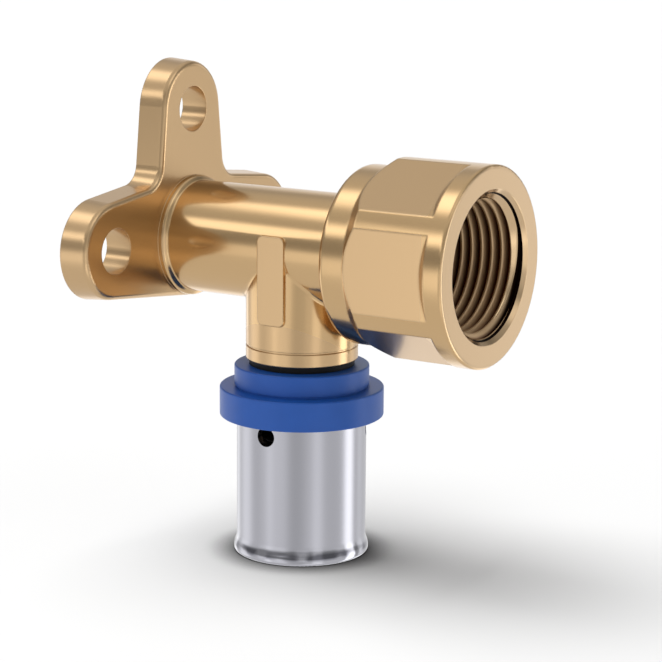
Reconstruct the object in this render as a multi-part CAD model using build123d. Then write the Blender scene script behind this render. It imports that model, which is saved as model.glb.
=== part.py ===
from build123d import *
import math
import os

# Wall plate elbow: a gunmetal casting with a three-eared wall plate, a straight arm along -Y to a
# hexagon socket with a female pipe thread, and a branch down -Z to a press connection for pipe.
# Origin: on the arm's axis, in the wall face of the plate. +Z is up. Millimetres.
# Stations named _Y run along the arm from the wall face, and those named _Z along the branch.

# Arm and the small turned collar at its root
ARM_R = 8.35
ROOT_COLLAR_R = ARM_R + 0.7
ROOT_COLLAR_HEIGHT = 0.8
ROOT_COLLAR_EDGE_ROUND = 0.65
ROOT_COLLAR_FOOT_ROUND = 0.25
ROOT_COLLAR_SLOPE = 0.5

# Branch neck, a little thinner than the arm
BRANCH_AXIS_Y = -24.0
NECK_R = ARM_R - 0.05
NECK_END_Z = -16.6
NECK_END_ROUND = 0.35
NECK_GROOVE_Z = -14.4
NECK_GROOVE_WIDTH = 0.3
NECK_GROOVE_DEPTH = 0.2
JUNCTION_FILLET = 0.8

# Wall plate
PLATE_THICKNESS = 4.4
PLATE_CENTRE_R = ROOT_COLLAR_R + 0.15
EAR_END_R = 7.05
EAR_REACH = 19.0
EAR_HOLE_R = 3.4
PLATE_DRAFT_DEG = 4.5
PLATE_CORNER_R = 3.5
PLATE_FRONT_ROUND = 0.8
EAR_DIRECTIONS_DEG = (0.0, 90.0, 180.0)

# Socket, whose shoulder stands clear of the branch neck
NECK_TO_SHOULDER = 2.4
SHOULDER_Y = BRANCH_AXIS_Y - NECK_R - NECK_TO_SHOULDER
SHOULDER_ROUND = 1.0
SOCKET_COLLAR_R = 13.0
HEX_ACROSS_FLATS = 26.2
HEX_CORNER_R = 14.4
REAR_CONE_START_Y = -38.95
REAR_CONE_DEG = 38.0
FLAT_END_Y = -51.25
FRONT_RUN_OUT_DEG = 45.0
MOUTH_Y = -55.3
MOUTH_CHAMFER = 0.45

# Female pipe thread, one half inch parallel: the bore is cut at the thread's major radius
THREAD_MAJOR_R = 10.48
THREAD_LENGTH = 15.0
COUNTERSINK_R = 11.05
WATERWAY_ARM_R = 5.6
WATERWAY_BACK_GAP = 0.5
WATERWAY_BACK_ROUND = 1.5
THREAD_END_DRILL_CONE = 2.4

# Marking pad cast on one side of the branch, left bare
PAD_FACE_X = -(ARM_R + 0.25)
PAD_WIDTH = 4.6
PAD_TOP_Z = 2.6
PAD_BOTTOM_Z = -10.5
PAD_CORNER_R = 0.9
PAD_EDGE_ROUND = 0.15

# Spigot under the neck that carries the ring, and the insert stub for the pipe
SPIGOT_R = 7.25
SPIGOT_END_Z = -22.4
SNAP_GROOVE_R = 6.8
SNAP_GROOVE_TOP_Z = -18.6
SNAP_GROOVE_BOTTOM_Z = -19.8
STUB_R = 5.9
STUB_END_Z = -44.3
STUB_LEAD_IN = 0.9
STUB_LEAD_IN_LENGTH = 1.35
WATERWAY_STUB_R = 3.9
O_RING_GROOVE_R = 4.75
O_RING_GROOVE_WIDTH = 1.9
O_RING_SECTION_R = 0.75
O_RING_STATIONS_Z = {"o_ring_upper": -27.9, "o_ring_lower": -34.4}
BARB_STATIONS_Z = (-30.4, -37.4, -39.3, -41.2)
BARB_LENGTH = 1.5
BARB_DEPTH = 0.4

# Press sleeve for 16 mm pipe
SLEEVE_OUTER_R = 9.63
SLEEVE_WALL = 1.2
SLEEVE_TOP_Z = -21.7
SLEEVE_BOTTOM_Z = -45.8
SLEEVE_FLARE = 0.42
SLEEVE_FLARE_DEG = 23.0
SLEEVE_FLARE_HOLLOW_SHARE = 0.64
SLEEVE_FLARE_CROWN_SHARE = 0.35
SLEEVE_RIM_HEIGHT = 0.7
SLEEVE_RIM_ROUND = 0.45
VIEW_HOLE_R = 1.45
VIEW_HOLE_Z = -26.75
VIEW_HOLE_DIRECTIONS_DEG = (180.0, 300.0, 60.0)

# Plastic retaining ring
RING_CLEARANCE = 0.1
RING_TOP_Z = -17.4
RING_UPPER_R = SLEEVE_OUTER_R + 0.36
RING_FLANGE_R = SLEEVE_OUTER_R + 2.54
RING_FLANGE_TOP_Z = -20.67
RING_FLANGE_BOTTOM_Z = -25.05
RING_NECK_GROOVE_DEPTH = 0.2
RING_NECK_GROOVE_HEIGHT = 0.35
RING_LIP_BOTTOM_Z = -24.0
RING_EDGE_ROUND = 0.25

SLEEVE_INNER_R = SLEEVE_OUTER_R - SLEEVE_WALL
SLEEVE_FLARE_R = SLEEVE_OUTER_R + SLEEVE_FLARE
THREAD_END_Y = MOUTH_Y + THREAD_LENGTH

# How far a cutter reaches past what it cuts
CUT_PAST = 1.0


def rounded(face, radii):
    """A flat section with the named corners rounded; radii maps a corner's place to its radius."""
    for place, radius in radii.items():
        corner = min(face.vertices(), key=lambda v: (v.center() - Vector(*place)).length)
        face = fillet(corner, radius)
    return face


def turned(points, axis, radii=None):
    """A solid of revolution. Points are (radius, station), with the station along the axis."""
    plane = Plane.XY if axis == Axis.Y else Plane.XZ
    face = make_face(Polyline(*points, close=True))
    if radii:
        face = rounded(face, radii)
    return revolve(plane * face, axis)


def ear_outline(direction_deg):
    """One ear of the plate: the straight-sided wrap of the centre disc and the ear's end disc."""
    slope = math.asin((PLATE_CENTRE_R - EAR_END_R) / EAR_REACH)
    side = math.pi / 2 - slope
    centre_edge = [(PLATE_CENTRE_R * math.cos(s), PLATE_CENTRE_R * math.sin(s)) for s in (side, -side)]
    end_edge = [(EAR_REACH + EAR_END_R * math.cos(s), EAR_END_R * math.sin(s)) for s in (-side, side)]
    web = make_face(Polyline(*centre_edge, *end_edge, close=True))
    outline = web + Circle(PLATE_CENTRE_R) + Pos(EAR_REACH, 0) * Circle(EAR_END_R)
    return Rot(0, 0, direction_deg) * outline


def plate_outline():
    """The plate's front outline: three ears with a round in each of the two inner corners."""
    outline = Sketch() + [ear_outline(a) for a in EAR_DIRECTIONS_DEG]
    inner = [v for v in outline.vertices() if v.Y > 0 and abs(abs(v.X) - v.Y) < 0.2]
    return fillet(inner, PLATE_CORNER_R)


def ear_holes(radius):
    """Drills through the plate, one in each ear."""
    places = [(EAR_REACH * math.cos(math.radians(a)), EAR_REACH * math.sin(math.radians(a)))
              for a in EAR_DIRECTIONS_DEG]
    drills = Sketch() + [Pos(x, z) * Circle(radius) for x, z in places]
    return extrude(Plane.XZ * drills, PLATE_THICKNESS + CUT_PAST, both=True)


def wall_plate():
    """Cast plate with drafted sides, a rounded front edge and three drilled ears."""
    front = Plane((0, -PLATE_THICKNESS, 0), x_dir=(-1, 0, 0), z_dir=(0, 1, 0)) * plate_outline()
    plate = extrude(front, PLATE_THICKNESS, taper=-PLATE_DRAFT_DEG)
    front_face = plate.faces().sort_by(Axis.Y)[0]
    return fillet(front_face.outer_wire().edges(), PLATE_FRONT_ROUND)


def arm_and_socket_blank():
    """The turned form: root collar, arm, rounded shoulder, collar, rear cone, corner cylinder, mouth."""
    cone_end_y = REAR_CONE_START_Y - (HEX_CORNER_R - SOCKET_COLLAR_R) / math.tan(math.radians(REAR_CONE_DEG))
    collar_top_y = -PLATE_THICKNESS - ROOT_COLLAR_HEIGHT
    points = [
        (0, -PLATE_THICKNESS / 2),
        (ROOT_COLLAR_R, -PLATE_THICKNESS / 2),
        (ROOT_COLLAR_R, collar_top_y),
        (ARM_R, collar_top_y - ROOT_COLLAR_SLOPE),
        (ARM_R, SHOULDER_Y),
        (SOCKET_COLLAR_R, SHOULDER_Y),
        (SOCKET_COLLAR_R, REAR_CONE_START_Y),
        (HEX_CORNER_R, cone_end_y),
        (HEX_CORNER_R, MOUTH_Y),
        (0, MOUTH_Y),
    ]
    radii = {
        (ROOT_COLLAR_R, collar_top_y): ROOT_COLLAR_EDGE_ROUND,
        (ARM_R, collar_top_y - ROOT_COLLAR_SLOPE): ROOT_COLLAR_FOOT_ROUND,
        (ARM_R, SHOULDER_Y): JUNCTION_FILLET,
        (SOCKET_COLLAR_R, SHOULDER_Y): SHOULDER_ROUND,
        (HEX_CORNER_R, MOUTH_Y): MOUTH_CHAMFER,
    }
    return turned(points, Axis.Y, radii)


def hexagon_cutter():
    """What the six flats take away: all outside the prism, with a sloping run-out at the mouth's end."""
    inner_r = SOCKET_COLLAR_R - CUT_PAST
    outer_r = HEX_CORNER_R + CUT_PAST
    flat_r = HEX_ACROSS_FLATS / 2
    slope = math.tan(math.radians(FRONT_RUN_OUT_DEG))
    points = [
        (inner_r, SHOULDER_Y - SHOULDER_ROUND),
        (outer_r, SHOULDER_Y - SHOULDER_ROUND),
        (outer_r, FLAT_END_Y - (outer_r - flat_r) * slope),
        (inner_r, FLAT_END_Y - (inner_r - flat_r) * slope),
    ]
    hexagon = RegularPolygon(flat_r, 6, major_radius=False, rotation=30)
    return turned(points, Axis.Y) - extrude(Plane.XZ * hexagon, CUT_PAST - MOUTH_Y)


def band(inner_r, outer_r, middle_z, width):
    """The four corners of a plain ring section."""
    top_z = middle_z + width / 2
    bottom_z = middle_z - width / 2
    return [(inner_r, top_z), (outer_r, top_z), (outer_r, bottom_z), (inner_r, bottom_z)]


def neck_and_stub():
    """The branch: plain neck with its fine groove, the ring's spigot and the grooved insert stub."""
    half = NECK_GROOVE_WIDTH / 2
    points = [
        (0, 0),
        (NECK_R, 0),
        (NECK_R, NECK_GROOVE_Z + half),
        (NECK_R - NECK_GROOVE_DEPTH, NECK_GROOVE_Z + half),
        (NECK_R - NECK_GROOVE_DEPTH, NECK_GROOVE_Z - half),
        (NECK_R, NECK_GROOVE_Z - half),
        (NECK_R, NECK_END_Z),
        (SPIGOT_R, NECK_END_Z),
        (SPIGOT_R, SNAP_GROOVE_TOP_Z),
        (SNAP_GROOVE_R, SNAP_GROOVE_TOP_Z),
        (SNAP_GROOVE_R, SNAP_GROOVE_BOTTOM_Z),
        (SPIGOT_R, SNAP_GROOVE_BOTTOM_Z),
        (SPIGOT_R, SPIGOT_END_Z),
        (STUB_R, SPIGOT_END_Z),
        (STUB_R, STUB_END_Z + STUB_LEAD_IN_LENGTH),
        (STUB_R - STUB_LEAD_IN, STUB_END_Z),
        (0, STUB_END_Z),
    ]
    end_round = min(NECK_END_ROUND, (NECK_R - SPIGOT_R) / 2)
    stub = turned(points, Axis.Z, {(NECK_R, NECK_END_Z): end_round})
    for z in O_RING_STATIONS_Z.values():
        stub -= turned(band(O_RING_GROOVE_R, STUB_R + CUT_PAST, z, O_RING_GROOVE_WIDTH), Axis.Z)
    for z in BARB_STATIONS_Z:
        end_z = z - BARB_LENGTH
        outer_r = STUB_R + CUT_PAST
        tooth = [(STUB_R - BARB_DEPTH, z), (outer_r, z), (outer_r, end_z), (STUB_R, end_z)]
        stub -= turned(tooth, Axis.Z)
    return stub


def marking_pad():
    """Flat raised pad on the side of the branch, with rounded corners and a fine edge round."""
    height = PAD_TOP_Z - PAD_BOTTOM_Z
    plane = Plane((0, BRANCH_AXIS_Y, (PAD_TOP_Z + PAD_BOTTOM_Z) / 2), x_dir=(0, -1, 0), z_dir=(-1, 0, 0))
    pad = extrude(plane * RectangleRounded(PAD_WIDTH, height, PAD_CORNER_R), -PAD_FACE_X)
    return fillet(pad.faces().sort_by(Axis.X)[0].edges(), PAD_EDGE_ROUND)


def waterway():
    """All that is bored: threaded socket with countersink, arm, branch and stub."""
    depth = COUNTERSINK_R - THREAD_MAJOR_R
    back_corner = (WATERWAY_ARM_R, BRANCH_AXIS_Y + WATERWAY_STUB_R + WATERWAY_BACK_GAP)
    socket = [
        (0, MOUTH_Y - CUT_PAST),
        (COUNTERSINK_R + CUT_PAST, MOUTH_Y - CUT_PAST),
        (THREAD_MAJOR_R, MOUTH_Y + depth),
        (THREAD_MAJOR_R, THREAD_END_Y),
        (WATERWAY_ARM_R, THREAD_END_Y + THREAD_END_DRILL_CONE),
        back_corner,
        (0, back_corner[1]),
    ]
    drill_length = CUT_PAST - STUB_END_Z
    drill = Cylinder(WATERWAY_STUB_R, drill_length, align=(Align.CENTER, Align.CENTER, Align.MAX))
    return turned(socket, Axis.Y, {back_corner: WATERWAY_BACK_ROUND}) + Pos(0, BRANCH_AXIS_Y, 0) * drill


def junction_edges(body):
    """The saddle curves where the neck's cylinder runs into the arm."""
    near_branch = [e for e in body.edges() if abs(e.bounding_box().center().Y - BRANCH_AXIS_Y) < NECK_R]
    return [e for e in near_branch if -ARM_R - JUNCTION_FILLET / 2 < e.bounding_box().min.Z < -ARM_R / 2]


def elbow_body():
    """The one-piece casting."""
    arm = arm_and_socket_blank() - hexagon_cutter()
    branch = Pos(0, BRANCH_AXIS_Y, 0) * neck_and_stub()
    body = arm + branch
    body = fillet(junction_edges(body), JUNCTION_FILLET)
    body = body + wall_plate() + marking_pad()
    return body - ear_holes(EAR_HOLE_R) - waterway()


def o_ring(z):
    """A round-section seal in its groove on the stub."""
    centre_r = O_RING_GROOVE_R + O_RING_SECTION_R
    return Pos(0, BRANCH_AXIS_Y, z) * Torus(centre_r, O_RING_SECTION_R)


def press_sleeve():
    """Drawn tube with a rounded rim and three viewing holes. The flare is a hollow bend that runs
    straight into a crowned one, so its steepest part lies where they meet."""
    flare = math.radians(SLEEVE_FLARE_DEG)
    bends_r = SLEEVE_FLARE / (1 - math.cos(flare))
    hollow_r = bends_r * SLEEVE_FLARE_HOLLOW_SHARE
    crown_r = bends_r * SLEEVE_FLARE_CROWN_SHARE
    crown_z = SLEEVE_BOTTOM_Z + SLEEVE_RIM_HEIGHT + crown_r * math.tan(flare / 2)
    hollow_z = crown_z + SLEEVE_FLARE / math.tan(flare)
    points = [
        (SLEEVE_INNER_R, SLEEVE_TOP_Z),
        (SLEEVE_OUTER_R, SLEEVE_TOP_Z),
        (SLEEVE_OUTER_R, hollow_z),
        (SLEEVE_FLARE_R, crown_z),
        (SLEEVE_FLARE_R, SLEEVE_BOTTOM_Z),
        (SLEEVE_INNER_R + SLEEVE_FLARE, SLEEVE_BOTTOM_Z),
        (SLEEVE_INNER_R, hollow_z),
    ]
    radii = {
        (SLEEVE_OUTER_R, hollow_z): hollow_r,
        (SLEEVE_FLARE_R, crown_z): crown_r,
        (SLEEVE_FLARE_R, SLEEVE_BOTTOM_Z): SLEEVE_RIM_ROUND,
        (SLEEVE_INNER_R + SLEEVE_FLARE, SLEEVE_BOTTOM_Z): SLEEVE_RIM_ROUND,
    }
    sleeve = turned(points, Axis.Z, radii)
    drill = Cylinder(VIEW_HOLE_R, SLEEVE_FLARE_R, align=(Align.CENTER, Align.CENTER, Align.MIN))
    for angle in VIEW_HOLE_DIRECTIONS_DEG:
        sleeve -= Pos(0, 0, VIEW_HOLE_Z) * Rot(0, 0, angle) * Rot(0, 90, 0) * drill
    return Pos(0, BRANCH_AXIS_Y, 0) * sleeve


def retaining_ring():
    """Stepped plastic ring: it snaps onto the spigot, holds the sleeve's end and stops the pipe."""
    bore_r = SPIGOT_R + RING_CLEARANCE
    bead_r = SNAP_GROOVE_R + RING_CLEARANCE
    slot_roof_z = SLEEVE_TOP_Z + RING_CLEARANCE
    stop_z = SPIGOT_END_Z - RING_CLEARANCE
    neck_r = RING_UPPER_R - RING_NECK_GROOVE_DEPTH
    neck_z = RING_FLANGE_TOP_Z + RING_NECK_GROOVE_HEIGHT
    points = [
        (bore_r, RING_TOP_Z),
        (RING_UPPER_R, RING_TOP_Z),
        (RING_UPPER_R, neck_z),
        (neck_r, neck_z),
        (neck_r, RING_FLANGE_TOP_Z),
        (RING_FLANGE_R, RING_FLANGE_TOP_Z),
        (RING_FLANGE_R, RING_FLANGE_BOTTOM_Z),
        (SLEEVE_OUTER_R + RING_CLEARANCE, RING_FLANGE_BOTTOM_Z),
        (SLEEVE_OUTER_R + RING_CLEARANCE, slot_roof_z),
        (SLEEVE_INNER_R - RING_CLEARANCE, slot_roof_z),
        (SLEEVE_INNER_R - RING_CLEARANCE, RING_LIP_BOTTOM_Z),
        (STUB_R + RING_CLEARANCE, RING_LIP_BOTTOM_Z),
        (STUB_R + RING_CLEARANCE, stop_z),
        (bore_r, stop_z),
        (bore_r, SNAP_GROOVE_BOTTOM_Z + RING_CLEARANCE),
        (bead_r, SNAP_GROOVE_BOTTOM_Z + RING_CLEARANCE),
        (bead_r, SNAP_GROOVE_TOP_Z - RING_CLEARANCE),
        (bore_r, SNAP_GROOVE_TOP_Z - RING_CLEARANCE),
    ]
    radii = {
        (RING_UPPER_R, RING_TOP_Z): RING_EDGE_ROUND,
        (RING_FLANGE_R, RING_FLANGE_TOP_Z): RING_EDGE_ROUND,
        (RING_FLANGE_R, RING_FLANGE_BOTTOM_Z): RING_EDGE_ROUND,
    }
    return Pos(0, BRANCH_AXIS_Y, 0) * turned(points, Axis.Z, radii)


def main():
    """Write one file per piece."""
    os.makedirs("parts", exist_ok=True)
    pieces = {
        "elbow_body": elbow_body(),
        "press_sleeve": press_sleeve(),
        "retaining_ring": retaining_ring(),
    }
    for name, z in O_RING_STATIONS_Z.items():
        pieces[name] = o_ring(z)
    for name, shape in pieces.items():
        export_step(shape, f"parts/{name}.step")


main()
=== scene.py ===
"""Wall plate elbow with a press connection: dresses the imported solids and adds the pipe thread.

Sizes are in millimetres in the part's own frame: the origin lies on the arm's axis in the wall
face, the arm runs along -Y to the threaded socket, and the branch runs down -Z to the pipe. Angles
are in degrees.
"""

import logging
import math
from dataclasses import dataclass, field
from enum import Enum
from typing import Any, Optional, Sequence

import bpy
import numpy as np
from mathutils import Matrix, Vector


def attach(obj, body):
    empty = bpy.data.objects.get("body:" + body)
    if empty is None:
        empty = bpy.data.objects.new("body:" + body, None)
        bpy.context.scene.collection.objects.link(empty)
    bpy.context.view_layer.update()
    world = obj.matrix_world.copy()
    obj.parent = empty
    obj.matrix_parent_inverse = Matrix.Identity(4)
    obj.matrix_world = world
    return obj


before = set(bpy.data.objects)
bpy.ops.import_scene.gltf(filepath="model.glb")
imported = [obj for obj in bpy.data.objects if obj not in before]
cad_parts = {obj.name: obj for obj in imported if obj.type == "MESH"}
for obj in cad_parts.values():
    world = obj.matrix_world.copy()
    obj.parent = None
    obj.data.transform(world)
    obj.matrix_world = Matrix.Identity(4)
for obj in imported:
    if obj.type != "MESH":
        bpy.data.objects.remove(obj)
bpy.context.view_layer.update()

MM = 0.001  # metres in a millimetre
BRANCH_Y = -24.0  # the branch's axis
FLOOR_Z = -45.8  # the sleeve's rim, which stands on the table
log = logging.getLogger("wall_plate_elbow")


def linear(hex_colour: str) -> tuple[float, float, float, float]:
    """Turns an sRGB hex colour into linear light with full alpha.

    Args:
        hex_colour: six hex digits, with or without a leading hash.

    Returns:
        Red, green, blue and alpha, each from 0 to 1.
    """
    digits = hex_colour.lstrip("#")
    parts = [int(digits[i:i + 2], 16) / 255 for i in (0, 2, 4)]
    light = [p / 12.92 if p <= 0.04045 else ((p + 0.055) / 1.055) ** 2.4 for p in parts]
    return (*light, 1.0)


def add_node(tree: bpy.types.NodeTree, kind: str, inputs: Optional[dict] = None,
             **settings: Any) -> bpy.types.Node:
    """Adds one node with its settings and links.

    Args:
        tree: the node tree that gets the node.
        kind: the node's type name without the leading ShaderNode.
        inputs: an input's name or number, mapped to a value, a node whose first output is linked,
            or a pair of a node and its output's name.
        settings: the node's own properties.

    Returns:
        The new node.
    """
    node = tree.nodes.new("ShaderNode" + kind)
    for name, value in settings.items():
        setattr(node, name, value)
    for key, value in (inputs or {}).items():
        if isinstance(value, bpy.types.Node):
            tree.links.new(value.outputs[0], node.inputs[key])
        elif isinstance(value, tuple) and isinstance(value[0], bpy.types.Node):
            tree.links.new(value[0].outputs[value[1]], node.inputs[key])
        else:
            node.inputs[key].default_value = value
    return node


def new_material(name: str) -> tuple[bpy.types.Material, bpy.types.NodeTree]:
    """An empty node material.

    Args:
        name: the material's name.

    Returns:
        The material and its cleared node tree.
    """
    material = bpy.data.materials.new(name)
    material.use_nodes = True
    material.node_tree.nodes.clear()
    return material, material.node_tree


class Turning(Enum):
    """The lathe axis that a surface's tool marks run round."""

    ARM = "arm"
    BRANCH = "branch"


@dataclass(frozen=True)
class Gunmetal:
    """Gunmetal, sand cast and then turned where pipe and socket need it, tumbled to a soft satin.

    Turned cylinders mirror the room in soft bands that tool marks smear along the axis. Cast skin,
    on the wall plate, the hexagon's flats and the pad, has a fine even grain and a stronger haze.
    The mouth's face and countersink are cut last and are paler. The tapped thread is torn to a dull
    grey sheen, and its roots, most of all the first groove behind the countersink, get painted
    shade.
    Grain and tool marks are drawn as coarse as they need to be to show.
    """

    colour_turned: str = "#CFAE81"
    colour_cast: str = "#CFAF85"
    colour_faced: str = "#CFB28C"
    # Painted shade: the thread's roots and its first groove are darkened in colour.
    colour_root_shade: str = "#6A3510"
    colour_groove_shade: str = "#160A04"
    turned_roughness: float = 0.155
    cast_roughness: float = 0.19
    haze_roughness: float = 0.42
    turned_haze: float = 0.14
    cast_haze: float = 0.36
    thread_roughness: float = 0.27
    thread_haze: float = 0.8
    thread_haze_roughness: float = 0.62

    # The wall plate's front, and the pad on the side of -X, behind the hexagon.
    plate_from_y: float = -4.6
    plate_full_y: float = -4.5
    pad_from_x: float = -8.5
    pad_full_x: float = -8.58
    pad_front_y: float = -30.0

    # The socket: its flats, by half the width across them, its mouth's face and its bore.
    socket_y: float = -38.0
    hexagon_inner_r: float = 12.0
    flat_from_mm: float = 13.05
    flat_full_mm: float = 13.09
    flat_front_y: float = -51.9
    flat_full_y: float = -51.3
    face_from_y: float = -55.2
    face_full_y: float = -55.28
    bored_r: float = 11.1

    # The thread: radius plus Y is the same all over the land that the countersink cuts on it.
    thread_major_r: float = 10.5
    # Painted shade darkens the thread's colour from the crest radius out to the roots.
    crest_unshaded_r: float = 9.8
    root_dark_r: float = 10.4
    groove_from_y: float = -53.6
    groove_full_y: float = -53.95
    land_cone_mm: float = -44.06
    land_tolerance_mm: float = 0.06
    land_outer_r: float = 10.3

    # The branch, whose tool marks run round its own axis.
    branch_top_z: float = -8.9
    branch_front_y: float = -33.0

    grain_mm: float = 0.2
    grain_height_mm: float = 0.004
    tool_mark_mm: float = 0.16
    tool_mark_height_mm: float = 0.001
    edge_round_mm: float = 0.18
    hexagon_edge_round_mm: float = 0.45
    edge_samples: int = 6

    def build(self) -> bpy.types.Material:
        """The finished material: masks in the part's own frame tell cast from turned.

        Returns:
            One material for the whole casting.
        """
        material, tree = new_material("gunmetal_cast_and_turned")
        place = add_node(tree, "TexCoord")
        at = (place, "Object")
        split = add_node(tree, "SeparateXYZ", {0: at})
        cast = self.cast_mask(tree, at, split)
        across = add_node(tree, "CombineXYZ", {0: (split, "X"), 1: (split, "Z")})
        radius = (add_node(tree, "VectorMath", {0: across}, operation="LENGTH"), "Value")
        socket = add_node(tree, "Math", {0: (split, "Y"), 1: self.socket_y * MM},
                          operation="LESS_THAN")
        faced = self.faced_mask(tree, split, radius, socket)
        thread = self.thread_mask(tree, split, radius, socket)
        # Painted shade in the thread's roots and first groove, mixed into the colour below.
        root, groove = self.painted_shade_masks(tree, split, radius, thread)
        colour: tuple = linear(self.colour_turned)
        for mask, over in ((cast, self.colour_cast), (faced, self.colour_faced),
                           (root, self.colour_root_shade), (groove, self.colour_groove_shade)):
            mixed = add_node(tree, "Mix", {0: mask, 6: colour, 7: linear(over)}, data_type="RGBA")
            colour = (mixed, "Result")
        rough = add_node(tree, "MapRange", {0: cast, 3: self.turned_roughness,
                                            4: self.cast_roughness})
        rough = add_node(tree, "Mix", {0: thread, 2: rough, 3: self.thread_roughness},
                         data_type="FLOAT")
        haze = add_node(tree, "MapRange", {0: cast, 3: self.turned_haze, 4: self.cast_haze})
        haze = add_node(tree, "Mix", {0: thread, 2: haze, 3: self.thread_haze}, data_type="FLOAT")
        haze_rough = add_node(tree, "MapRange", {0: thread, 3: self.haze_roughness,
                                                 4: self.thread_haze_roughness})
        outside = add_node(tree, "Math", {0: radius, 1: self.hexagon_inner_r * MM},
                           operation="GREATER_THAN")
        hexagon = add_node(tree, "Math", {0: outside, 1: socket}, operation="MULTIPLY")
        surface = self.relief(tree, at, split, cast, hexagon)
        crisp = add_node(tree, "BsdfPrincipled", {"Base Color": colour, "Metallic": 1.0,
                                                  "Roughness": rough, "Normal": surface})
        hazy = add_node(tree, "BsdfPrincipled", {"Base Color": colour, "Metallic": 1.0,
                                                 "Roughness": haze_rough, "Normal": surface})
        shader = add_node(tree, "MixShader", {0: haze, 1: crisp, 2: hazy})
        add_node(tree, "OutputMaterial", {0: shader})
        return material

    def thread_mask(self, tree: bpy.types.NodeTree, split: bpy.types.Node, radius: tuple,
                    socket: bpy.types.Node) -> bpy.types.Node:
        """One on the thread's flanks and roots, nought on its land and elsewhere.

        Args:
            tree: the material's tree.
            split: the object coordinates, split in three.
            radius: the distance from the arm's axis.
            socket: one from the socket's collar on, nought before.

        Returns:
            A node whose first output is the mask.
        """
        inside = add_node(tree, "Math", {0: radius, 1: self.thread_major_r * MM},
                          operation="LESS_THAN")
        thread = add_node(tree, "Math", {0: inside, 1: socket}, operation="MULTIPLY")
        cone = add_node(tree, "Math", {0: radius, 1: (split, "Y")}, operation="ADD")
        land = add_node(tree, "Math", {0: cone, 1: self.land_cone_mm * MM,
                                       2: self.land_tolerance_mm * MM}, operation="COMPARE")
        off_wall = add_node(tree, "Math", {0: radius, 1: self.land_outer_r * MM},
                            operation="LESS_THAN")
        land = add_node(tree, "Math", {0: land, 1: off_wall}, operation="MULTIPLY")
        ridge = add_node(tree, "Math", {0: 1.0, 1: land}, operation="SUBTRACT")
        return add_node(tree, "Math", {0: thread, 1: ridge}, operation="MULTIPLY")

    def painted_shade_masks(self, tree: bpy.types.NodeTree, split: bpy.types.Node, radius: tuple,
                  thread: bpy.types.Node) -> tuple[bpy.types.Node, bpy.types.Node]:
        """Where shade is painted: deep between the crests, and in the first groove.

        Args:
            tree: the material's tree.
            split: the object coordinates, split in three.
            radius: the distance from the arm's axis.
            thread: one on the thread, nought elsewhere.

        Returns:
            The mask of the roots and that of the first groove.
        """
        root = add_node(tree, "MapRange", {0: radius, 1: self.crest_unshaded_r * MM,
                                           2: self.root_dark_r * MM})
        root = add_node(tree, "Math", {0: root, 1: thread}, operation="MULTIPLY")
        groove = add_node(tree, "MapRange", {0: (split, "Y"), 1: self.groove_from_y * MM,
                                             2: self.groove_full_y * MM})
        groove = add_node(tree, "Math", {0: groove, 1: thread}, operation="MULTIPLY")
        return root, groove

    def relief(self, tree: bpy.types.NodeTree, at: tuple, split: bpy.types.Node,
               cast: bpy.types.Node, hexagon: bpy.types.Node) -> bpy.types.Node:
        """The normal: edges are rounded, cast skin is grained and turned metal has its rings.

        Args:
            tree: the material's tree.
            at: the object coordinates.
            split: the same, split in three.
            cast: one on cast skin, nought on turned metal.
            hexagon: one on the hexagon, whose edges are rounder, nought elsewhere.

        Returns:
            A node whose first output is the normal.
        """
        edge = add_node(tree, "MapRange", {0: hexagon, 3: self.edge_round_mm * MM,
                                           4: self.hexagon_edge_round_mm * MM})
        soft_edge = add_node(tree, "Bevel", {"Radius": edge}, samples=self.edge_samples)
        grain = add_node(tree, "TexNoise", {"Vector": at, "Scale": 1 / (self.grain_mm * MM),
                                            "Detail": 2.0, "Roughness": 0.6})
        cast_skin = add_node(tree, "Bump", {"Height": grain, "Strength": cast, "Normal": soft_edge,
                                            "Distance": self.grain_height_mm * MM})
        marks = self.tool_marks(tree, split)
        turned = add_node(tree, "Math", {0: 1.0, 1: cast}, operation="SUBTRACT")
        return add_node(tree, "Bump", {"Height": marks, "Strength": turned, "Normal": cast_skin,
                                       "Distance": self.tool_mark_height_mm * MM})

    def faced_mask(self, tree: bpy.types.NodeTree, split: bpy.types.Node, radius: tuple,
                   socket: bpy.types.Node) -> bpy.types.Node:
        """One on the mouth's face and on all that is bored inside it, nought elsewhere.

        Args:
            tree: the material's tree.
            split: the object coordinates, split in three.
            radius: the distance from the arm's axis.
            socket: one from the socket's collar on, nought before.

        Returns:
            A node whose first output is the mask.
        """
        face = add_node(tree, "MapRange", {0: (split, "Y"), 1: self.face_from_y * MM,
                                           2: self.face_full_y * MM})
        inside = add_node(tree, "Math", {0: radius, 1: self.bored_r * MM}, operation="LESS_THAN")
        bored = add_node(tree, "Math", {0: inside, 1: socket}, operation="MULTIPLY")
        return add_node(tree, "Math", {0: face, 1: bored}, operation="MAXIMUM")

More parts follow.
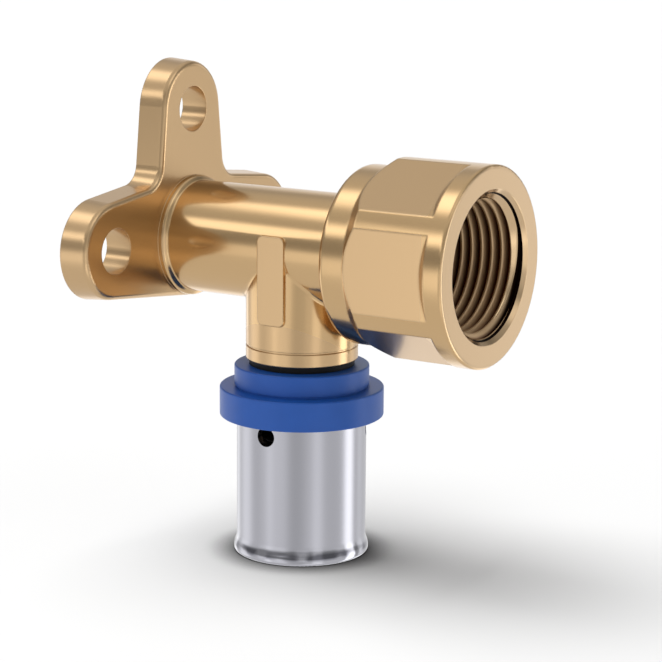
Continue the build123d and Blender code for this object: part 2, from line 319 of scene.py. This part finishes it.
    def cast_mask(self, tree: bpy.types.NodeTree, at: tuple,
                  split: bpy.types.Node) -> bpy.types.Node:
        """One on cast skin, nought on turned surfaces.

        The plate is all that lies less than its thickness from the wall. A flat is where the
        largest of the distances along the hexagon's three axes is its half width across flats. The
        pad stands prouder than the arm on the side of -X.

        Args:
            tree: the material's tree.
            at: the object coordinates.
            split: the same, split in three.

        Returns:
            A node whose first output is the mask.
        """
        plate = add_node(tree, "MapRange", {0: (split, "Y"), 1: self.plate_from_y * MM,
                                            2: self.plate_full_y * MM})
        spans = []
        for angle in (0, 60, 120):
            across = (math.cos(math.radians(angle)), 0.0, math.sin(math.radians(angle)))
            along = add_node(tree, "VectorMath", {0: at, 1: across}, operation="DOT_PRODUCT")
            spans.append(add_node(tree, "Math", {0: (along, "Value")}, operation="ABSOLUTE"))
        span = add_node(tree, "Math", {0: spans[0], 1: spans[1]}, operation="MAXIMUM")
        span = add_node(tree, "Math", {0: span, 1: spans[2]}, operation="MAXIMUM")
        flat = add_node(tree, "MapRange", {0: span, 1: self.flat_from_mm * MM,
                                           2: self.flat_full_mm * MM})
        behind = add_node(tree, "MapRange", {0: (split, "Y"), 1: self.flat_front_y * MM,
                                             2: self.flat_full_y * MM})
        flat = add_node(tree, "Math", {0: flat, 1: behind}, operation="MULTIPLY")
        pad = add_node(tree, "MapRange", {0: (split, "X"), 1: self.pad_from_x * MM,
                                          2: self.pad_full_x * MM})
        before_hexagon = add_node(tree, "Math", {0: (split, "Y"), 1: self.pad_front_y * MM},
                                  operation="GREATER_THAN")
        pad = add_node(tree, "Math", {0: pad, 1: before_hexagon}, operation="MULTIPLY")
        mask = add_node(tree, "Math", {0: plate, 1: flat}, operation="MAXIMUM")
        return add_node(tree, "Math", {0: mask, 1: pad}, operation="MAXIMUM")

    def tool_marks(self, tree: bpy.types.NodeTree, split: bpy.types.Node) -> bpy.types.Node:
        """Rings left by the turning tool: noise that changes with station and radius only.

        Args:
            tree: the material's tree.
            split: the object coordinates, split in three.

        Returns:
            A node whose first output is the rings' height from 0 to 1.
        """
        rings = {}
        for axis in Turning:
            if axis is Turning.ARM:
                station, up = (split, "Y"), (split, "Z")
            else:
                up = add_node(tree, "Math", {0: (split, "Y"), 1: BRANCH_Y * MM},
                              operation="SUBTRACT")
                station = (split, "Z")
            flat = add_node(tree, "CombineXYZ", {0: (split, "X"), 1: up})
            radius = add_node(tree, "VectorMath", {0: flat}, operation="LENGTH")
            ring_place = add_node(tree, "CombineXYZ", {0: station, 1: (radius, "Value")})
            rings[axis] = add_node(tree, "TexNoise", {"Vector": ring_place, "Detail": 2.0,
                                                      "Scale": 1 / (self.tool_mark_mm * MM)})
        below = add_node(tree, "Math", {0: (split, "Z"), 1: self.branch_top_z * MM},
                         operation="LESS_THAN")
        before = add_node(tree, "Math", {0: (split, "Y"), 1: self.branch_front_y * MM},
                          operation="GREATER_THAN")
        on_branch = add_node(tree, "Math", {0: below, 1: before}, operation="MULTIPLY")
        return add_node(tree, "Mix", {0: on_branch, 2: rings[Turning.ARM],
                                      3: rings[Turning.BRANCH]}, data_type="FLOAT")


@dataclass(frozen=True)
class StainlessTube:
    """Drawn stainless steel tube, satin.

    Fine rings round the tube smear what it mirrors up and down. The flaring tool has burnished the
    rim, which mirrors the room more sharply. A darker band of uneven spots on the bend is a painted
    reflection of the shaded table round the foot. The rings are drawn as coarse as they need to be
    to show.
    """

    colour: str = "#B2B2B9"
    # Painted reflection: the bend's darker colour stands in for the shaded table that the bend
    # mirrors.
    colour_bend_painted_reflection: str = "#74747C"
    drawn_roughness: float = 0.27
    burnished_roughness: float = 0.11
    burnished_from_z: float = -43.0
    burnished_full_z: float = -44.0
    ring_mm: float = 0.14
    ring_height_mm: float = 0.0016
    ring_squeeze: float = 0.02
    bend_top_z: float = -43.8
    bend_bottom_z: float = -45.15
    bend_fade_mm: float = 0.4
    spot_mm: float = 3.0
    spot_clear: float = 0.62
    spot_dark: float = 0.46

    def build(self) -> bpy.types.Material:
        """The finished material.

        Returns:
            Its colour darkens where the bend's band and the spots' noise meet, a painted reflection
            of the shaded table, and its roughness falls towards the rim. The rings are noise
            squeezed until it hardly changes across.
        """
        material, tree = new_material("stainless_steel_drawn")
        place = add_node(tree, "TexCoord")
        at = (place, "Object")
        split = add_node(tree, "SeparateXYZ", {0: at})
        rough = add_node(tree, "MapRange", {0: (split, "Z"), 1: self.burnished_from_z * MM,
                                            2: self.burnished_full_z * MM, 3: self.drawn_roughness,
                                            4: self.burnished_roughness})
        squeezed = add_node(tree, "Mapping", {"Vector": at, "Scale": (self.ring_squeeze,
                                                                      self.ring_squeeze, 1.0)})
        rings = add_node(tree, "TexNoise", {"Vector": squeezed, "Scale": 1 / (self.ring_mm * MM),
                                            "Detail": 2.0})
        surface = add_node(tree, "Bump", {"Height": rings, "Distance": self.ring_height_mm * MM})
        # Painted reflection of the shaded table: a band on the bend, broken into spots, darkens the
        # colour.
        top = add_node(tree, "MapRange", {0: (split, "Z"), 1: self.bend_top_z * MM,
                                          2: (self.bend_top_z - self.bend_fade_mm) * MM})
        bottom = add_node(tree, "MapRange", {0: (split, "Z"), 1: self.bend_bottom_z * MM,
                                             2: (self.bend_bottom_z + self.bend_fade_mm) * MM})
        bend = add_node(tree, "Math", {0: top, 1: bottom}, operation="MULTIPLY")
        spots = add_node(tree, "TexNoise", {"Vector": at, "Scale": 1 / (self.spot_mm * MM),
                                            "Detail": 1.0})
        spots = add_node(tree, "MapRange", {0: spots, 1: self.spot_clear, 2: self.spot_dark})
        bend = add_node(tree, "Math", {0: bend, 1: spots}, operation="MULTIPLY")
        colour = add_node(tree, "Mix", {0: bend, 6: linear(self.colour),
                                        7: linear(self.colour_bend_painted_reflection)}, data_type="RGBA")
        shader = add_node(tree, "BsdfPrincipled", {"Base Color": (colour, "Result"),
                                                   "Metallic": 1.0, "Roughness": rough,
                                                   "Normal": surface})
        add_node(tree, "OutputMaterial", {0: shader})
        return material


@dataclass(frozen=True)
class MouldedPolyamide:
    """Injection moulded blue polyamide: even colour, half matt from a spark-eroded mould.

    The mould's texture is drawn as coarse as it needs to be to show.
    """

    colour: str = "#1A58B3"
    colour_deep: str = "#1852A8"
    roughness: float = 0.42
    ior: float = 1.45
    cloud_mm: float = 3.0
    texture_mm: float = 0.12
    texture_height_mm: float = 0.004

    def build(self) -> bpy.types.Material:
        """The finished material.

        Returns:
            Faint clouds of the deeper blue, over the fine dimples of the mould's sparks.
        """
        material, tree = new_material("polyamide_blue_moulded")
        place = add_node(tree, "TexCoord")
        at = (place, "Object")
        cloud = add_node(tree, "TexNoise", {"Vector": at, "Scale": 1 / (self.cloud_mm * MM),
                                            "Detail": 2.0})
        colour = add_node(tree, "Mix", {0: cloud, 6: linear(self.colour),
                                        7: linear(self.colour_deep)}, data_type="RGBA")
        spark = add_node(tree, "TexNoise", {"Vector": at, "Scale": 1 / (self.texture_mm * MM),
                                            "Detail": 1.0})
        surface = add_node(tree, "Bump", {"Height": spark, "Distance": self.texture_height_mm * MM})
        shader = add_node(tree, "BsdfPrincipled", {"Base Color": (colour, "Result"),
                                                   "IOR": self.ior, "Roughness": self.roughness,
                                                   "Normal": surface})
        add_node(tree, "OutputMaterial", {0: shader})
        return material


@dataclass(frozen=True)
class SealRubber:
    """Black EPDM rubber, moulded and lightly greased: near black with a dull sheen.

    Its texture is drawn as coarse as it needs to be to show.
    """

    colour: str = "#070708"
    roughness: float = 0.55
    ior: float = 1.35
    texture_mm: float = 0.1
    texture_height_mm: float = 0.003

    def build(self) -> bpy.types.Material:
        """The finished material.

        Returns:
            One black all over, with a fine even roughness.
        """
        material, tree = new_material("rubber_black_moulded")
        place = add_node(tree, "TexCoord")
        spots = add_node(tree, "TexNoise", {"Vector": (place, "Object"),
                                            "Scale": 1 / (self.texture_mm * MM)})
        surface = add_node(tree, "Bump", {"Height": spots, "Distance": self.texture_height_mm * MM})
        shader = add_node(tree, "BsdfPrincipled", {"Base Color": linear(self.colour),
                                                   "IOR": self.ior, "Roughness": self.roughness,
                                                   "Normal": surface})
        add_node(tree, "OutputMaterial", {0: shader})
        return material


def grid_piece(name: str, points: np.ndarray, wrap: bool, material: bpy.types.Material,
               smooth: bool = True) -> bpy.types.Object:
    """Makes a closed piece from a tube-like grid of points.

    Row i of the grid is one section of the tube, and the section closes on itself. The tube either
    closes on itself too, or its two ends are capped by a fan round the section's mean point.

    Args:
        name: the piece's name.
        points: rows by columns by 3, in millimetres.
        wrap: True where the last row joins the first.
        material: the piece's finish.
        smooth: True where the shading runs on from face to face.

    Returns:
        The new object, riding on the root body.
    """
    rows, columns = points.shape[:2]
    index = np.arange(rows * columns).reshape(rows, columns)
    this = index if wrap else index[:-1]
    following = np.roll(index, -1, axis=0) if wrap else index[1:]
    quads = np.stack([this, np.roll(this, -1, axis=1), np.roll(following, -1, axis=1), following],
                     axis=-1)
    faces = quads.reshape(-1, 4).tolist()
    vertices = points.reshape(-1, 3)
    if not wrap:
        ends = np.stack([points[0].mean(axis=0), points[-1].mean(axis=0)])
        vertices = np.vstack([vertices, ends])
        first, last = index[0], index[-1]
        near = np.stack([np.roll(first, -1), first, np.full(columns, rows * columns)], axis=-1)
        far = np.stack([last, np.roll(last, -1), np.full(columns, rows * columns + 1)], axis=-1)
        faces += near.tolist() + far.tolist()
    mesh = bpy.data.meshes.new(name)
    mesh.from_pydata((vertices * MM).tolist(), [], faces)
    mesh.update()
    mesh.polygons.foreach_set("use_smooth", np.full(len(mesh.polygons), smooth))
    mesh.materials.append(material)
    piece = bpy.data.objects.new(name, mesh)
    bpy.context.scene.collection.objects.link(piece)
    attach(piece, "root")
    return piece


def dress(node: str, material: bpy.types.Material) -> bpy.types.Object:
    """Gives a carried-over solid its finish.

    Args:
        node: the solid's name.
        material: its finish.

    Returns:
        The solid's object.
    """
    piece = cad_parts[node]
    piece.data.materials.clear()
    piece.data.materials.append(material)
    return piece


@dataclass
class PipeThread:
    """The female pipe thread's ridge: one rounded helix on the socket's bore, right-handed.

    It begins outside the mouth's cone, so that the countersink cuts its first turn to a narrow
    land.
    """

    bore_r: float = 10.48
    crest_r: float = 9.32
    pitch: float = 1.63
    first_y: float = -55.27
    first_turned_deg: float = 24.0
    last_y: float = -41.2
    crest_round: float = 0.42
    root_round: float = 0.12
    run_out_turns: float = 0.35
    steps_per_turn: int = 120
    section_steps: int = 25
    mouth_y: float = -55.3
    countersink_r: float = 11.05
    behind_cone: float = 0.19
    behind_wall: float = 0.03
    foot_share: float = 0.4
    foot_depth: float = 0.12
    foot_behind_cone: float = 0.1
    mouth_squeeze: float = 0.02

    def section(self) -> np.ndarray:
        """The ridge's section over one pitch.

        Height falls evenly from the middle to both ends of the pitch, with a parabola at the crest
        and one at each root, and is then stretched to run from 0 to 1.

        Returns:
            Offsets along the axis and heights from 0 at the bore to 1 at the crest.
        """
        u = np.linspace(-1, 1, self.section_steps)
        to_crest, to_root = np.abs(u), 1 - np.abs(u)
        crest, root = self.crest_round, self.root_round
        height = np.where(to_crest < crest, 1 - crest / 2 - to_crest ** 2 / (2 * crest), to_root)
        height = np.where(to_root < root, root / 2 + to_root ** 2 / (2 * root), height)
        height = (height - root / 2) / (1 - crest / 2 - root / 2)
        return np.stack([u * self.pitch / 2, height], axis=-1)

    def surface(self) -> np.ndarray:
        """Points of the ridge.

        The helix angle falls with the row. A point's station is the helix's own plus the section's
        offset, and its radius falls from the bore's by the section's height times the crest's
        depth, eased out at the deep end. Near the mouth no point comes nearer to the axis than the
        countersink's cone, or further out than the mouth, where the stations are squeezed. The
        columns close behind the bore's wall, on a narrower foot.

        Returns:
            Rows along the helix and columns round the section, in millimetres.
        """
        turns = (self.last_y - self.first_y) / self.pitch
        turn = np.linspace(0, turns, int(turns * self.steps_per_turn))
        angle = math.radians(self.first_turned_deg) - 2 * np.pi * turn
        ease = np.clip((turns - turn) / self.run_out_turns, 0, 1)
        ease = ease * ease * (3 - 2 * ease)
        half_foot = self.pitch * self.foot_share
        foot = np.array([[half_foot, -self.foot_depth], [-half_foot, -self.foot_depth]])
        outline = np.vstack([self.section(), foot])
        height = np.where(outline[:, 1] > 0, outline[:, 1] * ease[:, None], outline[:, 1])
        radius = self.bore_r + self.behind_wall - (self.bore_r - self.crest_r) * height
        station = self.first_y + self.pitch * turn[:, None] + outline[:, 0]
        inside = self.mouth_y + 2 * self.behind_wall
        station = np.where(station < inside, inside + self.mouth_squeeze * (station - inside),
                           station)
        cone = self.countersink_r - (station - self.mouth_y) + self.behind_cone
        radius = np.maximum(radius, np.where(outline[:, 1] >= 0, cone,
                                             cone + self.foot_behind_cone))
        x = radius * np.cos(angle)[:, None]
        z = radius * np.sin(angle)[:, None]
        return np.stack([x, station, z], axis=-1)

    def build(self, material: bpy.types.Material) -> bpy.types.Object:
        """Makes the ridge and gives it the casting's finish."""
        return grid_piece("outlet_thread_ridge", self.surface(), False, material)


@dataclass
class Casting:
    """The gunmetal casting, carried over from the solids, with its pipe thread."""

    finish: Gunmetal = Gunmetal()
    thread: PipeThread = field(default_factory=PipeThread)

    def build(self) -> list[bpy.types.Object]:
        """Dresses the casting and cuts its thread.

        Returns:
            The pieces made or dressed.
        """
        material = self.finish.build()
        return [dress("elbow_body", material), self.thread.build(material)]


@dataclass
class SpigotGapShade:
    """Painted shade: a black ring on the spigot fills the gap between the neck's end and the
    retaining ring.
    """

    inner_r: float = 7.28
    outer_r: float = 7.8
    top_z: float = -16.63
    bottom_z: float = -17.37
    steps: int = 144

    def build(self, material: bpy.types.Material) -> bpy.types.Object:
        """Makes the black ring: a rectangle's four corners turned round the branch.

        Args:
            material: the rubber.

        Returns:
            The washer.
        """
        section = np.array([[self.inner_r, self.bottom_z], [self.inner_r, self.top_z],
                            [self.outer_r, self.top_z], [self.outer_r, self.bottom_z]])
        turn = np.linspace(0, 2 * np.pi, self.steps, endpoint=False)[:, None]
        points = np.stack([section[:, 0] * np.cos(turn), BRANCH_Y + section[:, 0] * np.sin(turn),
                           np.broadcast_to(section[:, 1], (self.steps, 4))], axis=-1)
        return grid_piece("spigot_gap_shade", points, True, material, smooth=False)


@dataclass
class PressConnection:
    """Sleeve, retaining ring, the two seals on the stub, and the painted shade in the spigot's gap.
    """

    sleeve: StainlessTube = StainlessTube()
    ring: MouldedPolyamide = MouldedPolyamide()
    seal: SealRubber = SealRubber()
    gap_shade: SpigotGapShade = field(default_factory=SpigotGapShade)

    def build(self) -> list[bpy.types.Object]:
        """Dresses the sleeve, the ring and the two seals, and makes the black ring of painted
        shade.

        Returns:
            The pieces made or dressed.
        """
        rubber = self.seal.build()
        return [
            dress("press_sleeve", self.sleeve.build()),
            dress("retaining_ring", self.ring.build()),
            dress("o_ring_upper", rubber),
            dress("o_ring_lower", rubber),
            # Painted shade: a black rubber ring in the gap on the spigot.
            self.gap_shade.build(rubber),
        ]


@dataclass(frozen=True)
class Softbox:
    """A soft panel in the studio, seen from the part: where it stands, how large and how bright.

    Places and half sizes are in degrees, and the edge is the share of the half size over which the
    light fades. A strength below nought is a dark screen in front of what lies behind it.
    """

    azimuth: float
    elevation: float
    half_width: float
    half_height: float
    strength: float
    edge: float = 0.25


@dataclass
class Studio:
    """White floor and a room of soft panels, given as the light that comes from each direction.

    Azimuth runs from +X towards +Y, in degrees. The floor and the backdrop are white to the camera,
    and the floor keeps the part's shadow.
    """

    panels: Sequence[Softbox] = (
        Softbox(140.5, 30, 34, 5.6, 1.75, 0.8),
        Softbox(108, 62, 12.5, 8, 1.65, 0.55),
        Softbox(307, -16, 9.8, 28, 1.75, 0.36),
        Softbox(241.5, -2, 8.5, 32, 0.42, 0.45),
        Softbox(206, -12, 12.2, 22, -0.17, 0.5),
        Softbox(171.5, -6.5, 15.5, 12.5, 0.35, 0.36),
        Softbox(154, -12.5, 5.6, 15, 0.36, 0.6),
        Softbox(98.5, -15, 13.5, 13.5, 0.6, 0.65),
        Softbox(62, -14, 7.5, 14, 0.7, 0.5),
        Softbox(323, -11, 5, 13, -0.3, 0.6),
        Softbox(214, 8, 10, 13, 0.26, 0.6),
        Softbox(312, 40, 32, 11, -0.2, 0.4),
        Softbox(338, 13, 8, 9, 0.95, 0.5),
        Softbox(146, -9, 10.5, 9, 0.2, 0.42),
        Softbox(338, -9.5, 8, 10, 0.33, 0.3),
        Softbox(24.5, 13, 19, 16, 0.6, 0.7),
        Softbox(264.5, 48.5, 15, 14, 0.72, 0.45),
        Softbox(291, 9, 13, 13, 0.3, 0.55),
        Softbox(36, -32, 11, 12, 0.45, 0.45),
        Softbox(356, -35, 20, 7, 0.8, 0.5),
        Softbox(235, -31, 17, 8, 0.45, 0.5),
    )
    floor_white: float = 0.88
    horizon: float = 0.37
    ceiling: float = 0.7

    # How far up a direction points, from -1 to 1, where each of those lights ends or begins.
    floor_top: float = -0.07
    horizon_bottom: float = 0.12
    horizon_top: float = 0.45
    ceiling_bottom: float = 0.8

    # What lies behind a panel's plane is taken as this little ahead, so that it gets no light.
    least_ahead: float = 0.001

    key_azimuth: float = 95.0
    key_elevation: float = 70.0
    key_spread: float = 50.0
    key_strength: float = 5.6
    table_grey: float = 0.42
    table_reach_m: float = 4.0
    contact_shade_mm: float = 5.0
    contact_shade_power: float = 2.2
    contact_shade_samples: int = 8

    def build(self) -> None:
        """Sets up the world, the key lamp and the floor."""
        self.build_world()
        self.build_key(self.build_floor())

    def build_key(self, table: bpy.types.Collection) -> None:
        """A far, wide lamp high behind the wall plate.

        It lights the table alone and throws the soft shadow there, while the room's panels light
        the part.

        Args:
            table: the collection that the lamp lights.
        """
        data = bpy.data.lights.new("key", "SUN")
        data.angle = math.radians(self.key_spread)
        data.energy = self.key_strength
        lamp = bpy.data.objects.new("key", data)
        bpy.context.scene.collection.objects.link(lamp)
        turn, rise = math.radians(self.key_azimuth), math.radians(self.key_elevation)
        aim = Vector((math.cos(turn) * math.cos(rise), math.sin(turn) * math.cos(rise),
                      math.sin(rise)))
        lamp.rotation_euler = aim.to_track_quat("Z", "Y").to_euler()
        lamp.visible_glossy = False
        lamp.light_linking.receiver_collection = table

    def build_world(self) -> None:
        """White to the camera, and the room of panels to everything else.

        The room's light is the floor's white below, falls to the horizon's grey and rises to the
        ceiling's, by how far up a direction points, and each panel adds its own.
        """
        world = bpy.data.worlds.new("studio")
        bpy.context.scene.world = world
        world.use_nodes = True
        tree = world.node_tree
        tree.nodes.clear()
        place = add_node(tree, "TexCoord")
        look = (place, "Generated")
        height = add_node(tree, "SeparateXYZ", {0: look})
        below = add_node(tree, "MapRange", {0: (height, "Z"), 1: self.floor_top,
                                            2: self.horizon_bottom, 3: self.floor_white,
                                            4: self.horizon}, interpolation_type="SMOOTHSTEP")
        light = add_node(tree, "MapRange", {0: (height, "Z"), 1: self.horizon_top,
                                            2: self.ceiling_bottom, 3: 0.0,
                                            4: self.ceiling - self.horizon},
                         interpolation_type="SMOOTHSTEP")
        light = add_node(tree, "Math", {0: below, 1: light}, operation="ADD")
        for panel in self.panels:
            light = add_node(tree, "Math", {0: self.panel_light(tree, look, panel), 1: light},
                             operation="ADD")
        rays = add_node(tree, "LightPath")
        seen = add_node(tree, "Mix", {0: (rays, "Is Camera Ray"), 2: light, 3: 1.0},
                        data_type="FLOAT")
        background = add_node(tree, "Background", {"Color": (1, 1, 1, 1), "Strength": seen})
        add_node(tree, "OutputWorld", {0: background})

    def panel_light(self, tree: bpy.types.NodeTree, look: tuple,
                    panel: Softbox) -> bpy.types.Node:
        """Light from one panel.

        It has its strength inside a rectangle on the plane that touches the panel's middle, and
        fades over the rectangle's edge.

        Args:
            tree: the world's tree.
            look: the direction looked in.
            panel: the panel.

        Returns:
            A node whose first output is the light.
        """
        turn, rise = math.radians(panel.azimuth), math.radians(panel.elevation)
        to_panel = (math.cos(turn) * math.cos(rise), math.sin(turn) * math.cos(rise),
                    math.sin(rise))
        sideways = (-math.sin(turn), math.cos(turn), 0.0)
        upwards = (-math.cos(turn) * math.sin(rise), -math.sin(turn) * math.sin(rise),
                   math.cos(rise))
        ahead = add_node(tree, "VectorMath", {0: look, 1: to_panel}, operation="DOT_PRODUCT")
        ahead = add_node(tree, "Math", {0: (ahead, "Value"), 1: self.least_ahead},
                         operation="MAXIMUM")
        sides = []
        for direction, half in ((sideways, panel.half_width), (upwards, panel.half_height)):
            reach = math.tan(math.radians(half))
            offset = add_node(tree, "VectorMath", {0: look, 1: direction}, operation="DOT_PRODUCT")
            offset = add_node(tree, "Math", {0: (offset, "Value"), 1: ahead}, operation="DIVIDE")
            offset = add_node(tree, "Math", {0: offset}, operation="ABSOLUTE")
            sides.append(add_node(tree, "MapRange", {0: offset, 1: reach * (1 + panel.edge),
                                                     2: reach * (1 - panel.edge)},
                                  interpolation_type="SMOOTHSTEP"))
        light = add_node(tree, "Math", {0: sides[0], 1: sides[1]}, operation="MULTIPLY")
        return add_node(tree, "Math", {0: light, 1: panel.strength}, operation="MULTIPLY")

    def build_floor(self) -> bpy.types.Collection:
        """A wide white table top under the sleeve's rim, and clear from under.

        It is shaded close round the sleeve's foot, where little light gets in. A power steepens
        that shade, so the table's grey goes in with the power taken out of it.

        Returns:
            The collection that holds it, for the lamp.
        """
        reach = self.table_reach_m
        corners = [(-reach, -reach), (reach, -reach), (reach, reach), (-reach, reach)]
        mesh = bpy.data.meshes.new("table_top")
        mesh.from_pydata([(x, y, FLOOR_Z * MM) for x, y in corners], [], [(0, 1, 2, 3)])
        top = bpy.data.objects.new("table_top", mesh)
        bpy.context.scene.collection.objects.link(top)
        top.visible_glossy = False
        material, tree = new_material("white_table_top")
        grey = self.table_grey ** (1 / self.contact_shade_power)
        shade = add_node(tree, "AmbientOcclusion", {"Color": (grey, grey, grey, 1),
                                                    "Distance": self.contact_shade_mm * MM},
                         samples=self.contact_shade_samples)
        shade = add_node(tree, "Gamma", {0: shade, 1: self.contact_shade_power})
        lit = add_node(tree, "BsdfDiffuse", {"Color": shade})
        side = add_node(tree, "NewGeometry")
        shader = add_node(tree, "MixShader", {0: (side, "Backfacing"), 1: lit,
                                              2: add_node(tree, "BsdfTransparent")})
        add_node(tree, "OutputMaterial", {0: shader})
        mesh.materials.append(material)
        table = bpy.data.collections.new("table")
        table.objects.link(top)
        return table


@dataclass
class PhotoCamera:
    """The camera at the photograph's place: a long lens, looking down a little from the left."""

    azimuth: float = -57.738
    elevation: float = 11.632
    roll: float = 0.439
    distance: float = 327.098
    slide_right: float = 4.168
    slide_up: float = -12.359
    focal_pixels: float = 2233.846
    frame_pixels: int = 662
    sensor_mm: float = 36.0
    clip_start_m: float = 0.01
    clip_end_m: float = 20.0

    def build(self) -> bpy.types.Object:
        """Places the camera and makes it the scene's.

        The eye lies the distance back from the crossing of arm and branch, moved sideways and up in
        the picture's own directions.

        Returns:
            The camera.
        """
        turn, rise, roll = (math.radians(a) for a in (self.azimuth, self.elevation, self.roll))
        back = Vector((math.sin(turn) * math.cos(rise), -math.cos(turn) * math.cos(rise),
                       math.sin(rise)))
        level = Vector((math.cos(turn), math.sin(turn), 0.0))
        upright = back.cross(level)
        right = math.cos(roll) * level + math.sin(roll) * upright
        up = -math.sin(roll) * level + math.cos(roll) * upright
        eye = (Vector((0, BRANCH_Y, 0)) + back * self.distance + right * self.slide_right
               + up * self.slide_up)
        data = bpy.data.cameras.new("photo_camera")
        data.sensor_width = self.sensor_mm
        data.lens = self.focal_pixels / self.frame_pixels * self.sensor_mm
        data.clip_start, data.clip_end = self.clip_start_m, self.clip_end_m
        camera = bpy.data.objects.new("photo_camera", data)
        bpy.context.scene.collection.objects.link(camera)
        turned = Matrix((right, up, back)).transposed().to_4x4()
        camera.matrix_world = Matrix.Translation(eye * MM) @ turned
        bpy.context.scene.camera = camera
        return camera


def main() -> None:
    """Builds the part's pieces, the studio and the camera, and reports each piece."""
    logging.basicConfig(level=logging.INFO, format="%(name)s: %(message)s")
    bpy.context.scene.view_settings.view_transform = "Standard"
    PhotoCamera().build()
    Studio().build()
    for assembly in (Casting(), PressConnection()):
        for piece in assembly.build():
            log.info("%s: %d faces", piece.name, len(piece.data.polygons))


if __name__ == "__main__":
    main()
